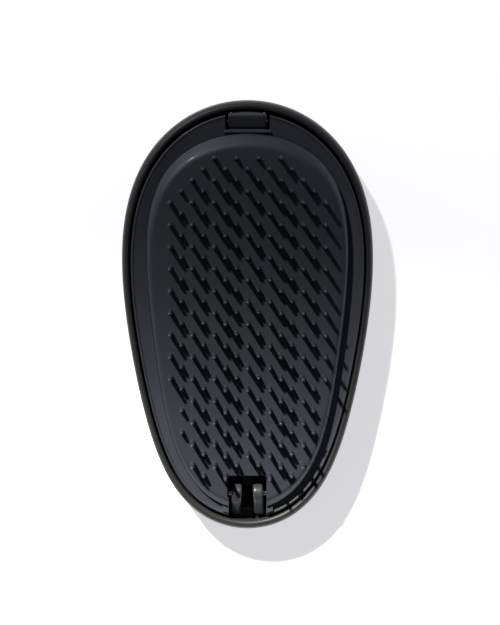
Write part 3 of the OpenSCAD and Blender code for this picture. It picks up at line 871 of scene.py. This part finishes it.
# %% Button
NOSE_Y, NOSE_Z, NOSE_T = 52.3, 12.5, 0.4
COLUMN_Y = BUTTON_Y - 1.2
HEAD_X, HEAD_TOP, HEAD_BACK, HEAD_ROUND = 5.25, RIM + 0.3, 58, 0.2
PRESS_X, PRESS_LOW, PRESS_HIGH = 4.6, BUTTON_Z - 3.9, BUTTON_Z - 1
PRESS_LINE_Z, PRESS_INSET = 6.15, 0.4
SPRING_R, SPRING_DEEP, SPRING_Z = 1.4, 1.2, 6.0


def head_profile():
    """From the nose up the sloping face, over the ridge and down the back to the column."""
    low = BUTTON_Z - 1.1
    return [
        (NOSE_Y, NOSE_Z), (NOSE_Y + 2.0, HEAD_TOP - 0.5), (NOSE_Y + 2.7, HEAD_TOP - 0.08),
        (NOSE_Y + 3.1, HEAD_TOP), (NOSE_Y + 3.5, HEAD_TOP - 0.08), (HEAD_BACK, HEAD_TOP - 1.1),
        (HEAD_BACK, low), (COLUMN_Y, low), (COLUMN_Y, NOSE_Z - NOSE_T), (NOSE_Y, NOSE_Z - NOSE_T)]


def button_mesh():
    near, clear = inset(mouth_line, 0.65), inset(mouth_line, 0.95)
    head = combine(prism(head_profile(), -HEAD_X, HEAD_X, HEAD_ROUND, 3, 20), [
        ("INTERSECT", loft([(near, 0), (near, RIM - 0.6), (clear, RIM + 0.4)]))])
    out = between(rest_line, case_line, math.sin(math.acos(1 - PRESS_LINE_Z / BELLY)))[0]
    press_line = (out - 2 * PRESS_INSET, case_line[1], 0.0, CASE)
    press = combine(block(-PRESS_X, PRESS_X, COLUMN_Y, 62, PRESS_LOW, PRESS_HIGH), [
        ("INTERSECT", loft([(press_line, 0), (press_line, 20)]))])
    pocket = rod(0, 0, SPRING_R, 0, SPRING_DEEP)
    pocket.transform(Matrix((
        (0, 1, 0, 0), (1, 0, 0, (COLUMN_Y - 0.01) * MM), (0, 0, 1, SPRING_Z * MM), (0, 0, 0, 1))))
    return combine(head, [
        ("UNION", press), ("DIFFERENCE", rod(BUTTON_Y, BUTTON_Z, 0.81, -20, 20)),
        ("DIFFERENCE", pocket)])


button = finished("button_rocker", button_mesh(), latch_satin, 35, True)
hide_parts("release_button")
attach(button, "button")

# %% [markdown]
# ## Small and inner pieces
# What the photograph hides stays as the CAD has it, with its own finish: the cover behind
# the brush, the tape, the mirror, the screws, the pins of the hinge and button, the spring.

# %% CAD pieces that stay
KEPT = {
    "mirror_tape": tape, "mirror_glass": silver, "tray_screws": steel,
    "hinge_pin_left": ground_steel, "hinge_pin_right": ground_steel,
    "button_pin": ground_steel, "button_spring": steel, "back_cover": frame_satin}
for node, material in KEPT.items():
    mesh = nodes[node].data
    mesh.materials.clear()
    mesh.materials.append(material)

# %% [markdown]
# ## Floor, light and camera
# Two lamps stand in one place at the upper left and throw one crisp shadow. The first
# lights everything evenly; the second is a wide beam whose soft edge crosses the brush, so
# the light grows towards the narrow end as it does in the photograph. The room is
# brightest at the horizon, as a white sweep is, except behind the narrow end. So flat faces
# look into its dark ceiling and stay black while rounded edges catch a line of light. The
# floor gives part of its own white to the camera, which keeps its shadow as pale as the
# photo's.

# %% Floor
FLOOR_GLOW, FLOOR_SIZE = 0.57, 4.0


def floor_finish():
    f = Finish("white_sweep")
    path = f.tree.nodes.new("ShaderNodeLightPath")
    seen = (Value(f, path.outputs["Is Camera Ray"]) + Value(f, path.outputs["Is Glossy Ray"])
            + Value(f, path.outputs["Is Transmission Ray"])).math("MINIMUM", 1.0)
    plain = f.node("ShaderNodeBsdfDiffuse", {}, {"Color": grey(0.9)})
    lit = f.node("ShaderNodeBsdfDiffuse", {}, {"Color": grey(0.9)})
    glow = f.node("ShaderNodeEmission", {}, {"Color": grey(1.0), "Strength": FLOOR_GLOW})
    both = f.node("ShaderNodeAddShader", {}, {0: lit, 1: glow})
    out = f.node("ShaderNodeMixShader", {}, {0: seen, 1: plain, 2: both})
    f.tree.links.new(out.socket, f.output.inputs["Surface"])
    return f.material


bm = bmesh.new()
bmesh.ops.create_grid(bm, x_segments=1, y_segments=1, size=FLOOR_SIZE)
floor = finished("floor", to_mesh(bm), floor_finish())

# %% Room
DIM_SIDE, SWEEP, CEILING = (0.35, 0.35, 0.4, 1), (1.4, 1.45, 2.0, 1), (0.05, 0.05, 0.055, 1)
world = bpy.data.worlds.new("room")
bpy.context.scene.world = world
world.use_nodes = True


class Room(Finish):
    def __init__(self, tree):
        self.tree = tree
        self.tree.nodes.clear()
        self.output = self.tree.nodes.new("ShaderNodeOutputWorld")


room = Room(world.node_tree)
where = room.tree.nodes.new("ShaderNodeSeparateXYZ")
room.tree.links.new(room.node("ShaderNodeTexCoord", {}, {}, "Generated").socket, where.inputs[0])
east, north, up = (Value(room, where.outputs[i]) for i in range(3))
open_side = (north * 0.9 + east.math("ABSOLUTE") * 0.5 + east * 0.2).above(0.1, 0.5)
horizon = room.mix(open_side, DIM_SIDE, SWEEP)
shade = room.mix(up.math("ABSOLUTE").above(0.32, 0.3), horizon, CEILING)
path = room.tree.nodes.new("ShaderNodeLightPath")
camera_ray = Value(room, path.outputs["Is Camera Ray"])
back = room.node("ShaderNodeBackground", {}, {
    "Color": room.mix(camera_ray, shade, (1, 1, 1, 1)), "Strength": 1.0})
room.tree.links.new(back.socket, room.output.inputs["Surface"])

# %% Lamps
LAMP_DISTANCE, LAMP_SIZE = 1.2, 0.06
FROM = Vector((-0.55, 0.88, 1.0)).normalized()
AIM, BEAM_AIM = Vector((0, 0, 0.01)), Vector((0.098, -0.331, 0))


def lamp(name, kind, watts, aim, **settings):
    data = bpy.data.lights.new(name, kind)
    data.energy = watts
    for key, value in settings.items():
        setattr(data, key, value)
    light = bpy.data.objects.new(name, data)
    bpy.context.scene.collection.objects.link(light)
    light.location = AIM + FROM * LAMP_DISTANCE
    light.rotation_euler = (light.location - aim).to_track_quat("Z", "Y").to_euler()
    return light


lamp("key", "AREA", 6.4, AIM, shape="DISK", size=LAMP_SIZE)
lamp("beam", "SPOT", 500.0, BEAM_AIM, shadow_soft_size=LAMP_SIZE / 2,
     spot_size=math.radians(20), spot_blend=1.0)

# %% Camera
CAMERA_AT, CAMERA_AIM = (0.0, 0.0321, 0.508), Vector((0.0007, 0.00076, 0.008))
camera = bpy.data.objects.new("camera", bpy.data.cameras.new("camera"))
bpy.context.scene.collection.objects.link(camera)
bpy.context.scene.camera = camera
camera.data.sensor_width = 36
camera.data.lens = 102.9
camera.location = CAMERA_AT
look_back = (camera.location - CAMERA_AIM).normalized()
side = Vector((0, 1, 0)).cross(look_back).normalized()
camera.rotation_euler = Matrix((side, look_back.cross(side), look_back)).transposed().to_euler()

bpy.context.scene.view_settings.view_transform = "Standard"
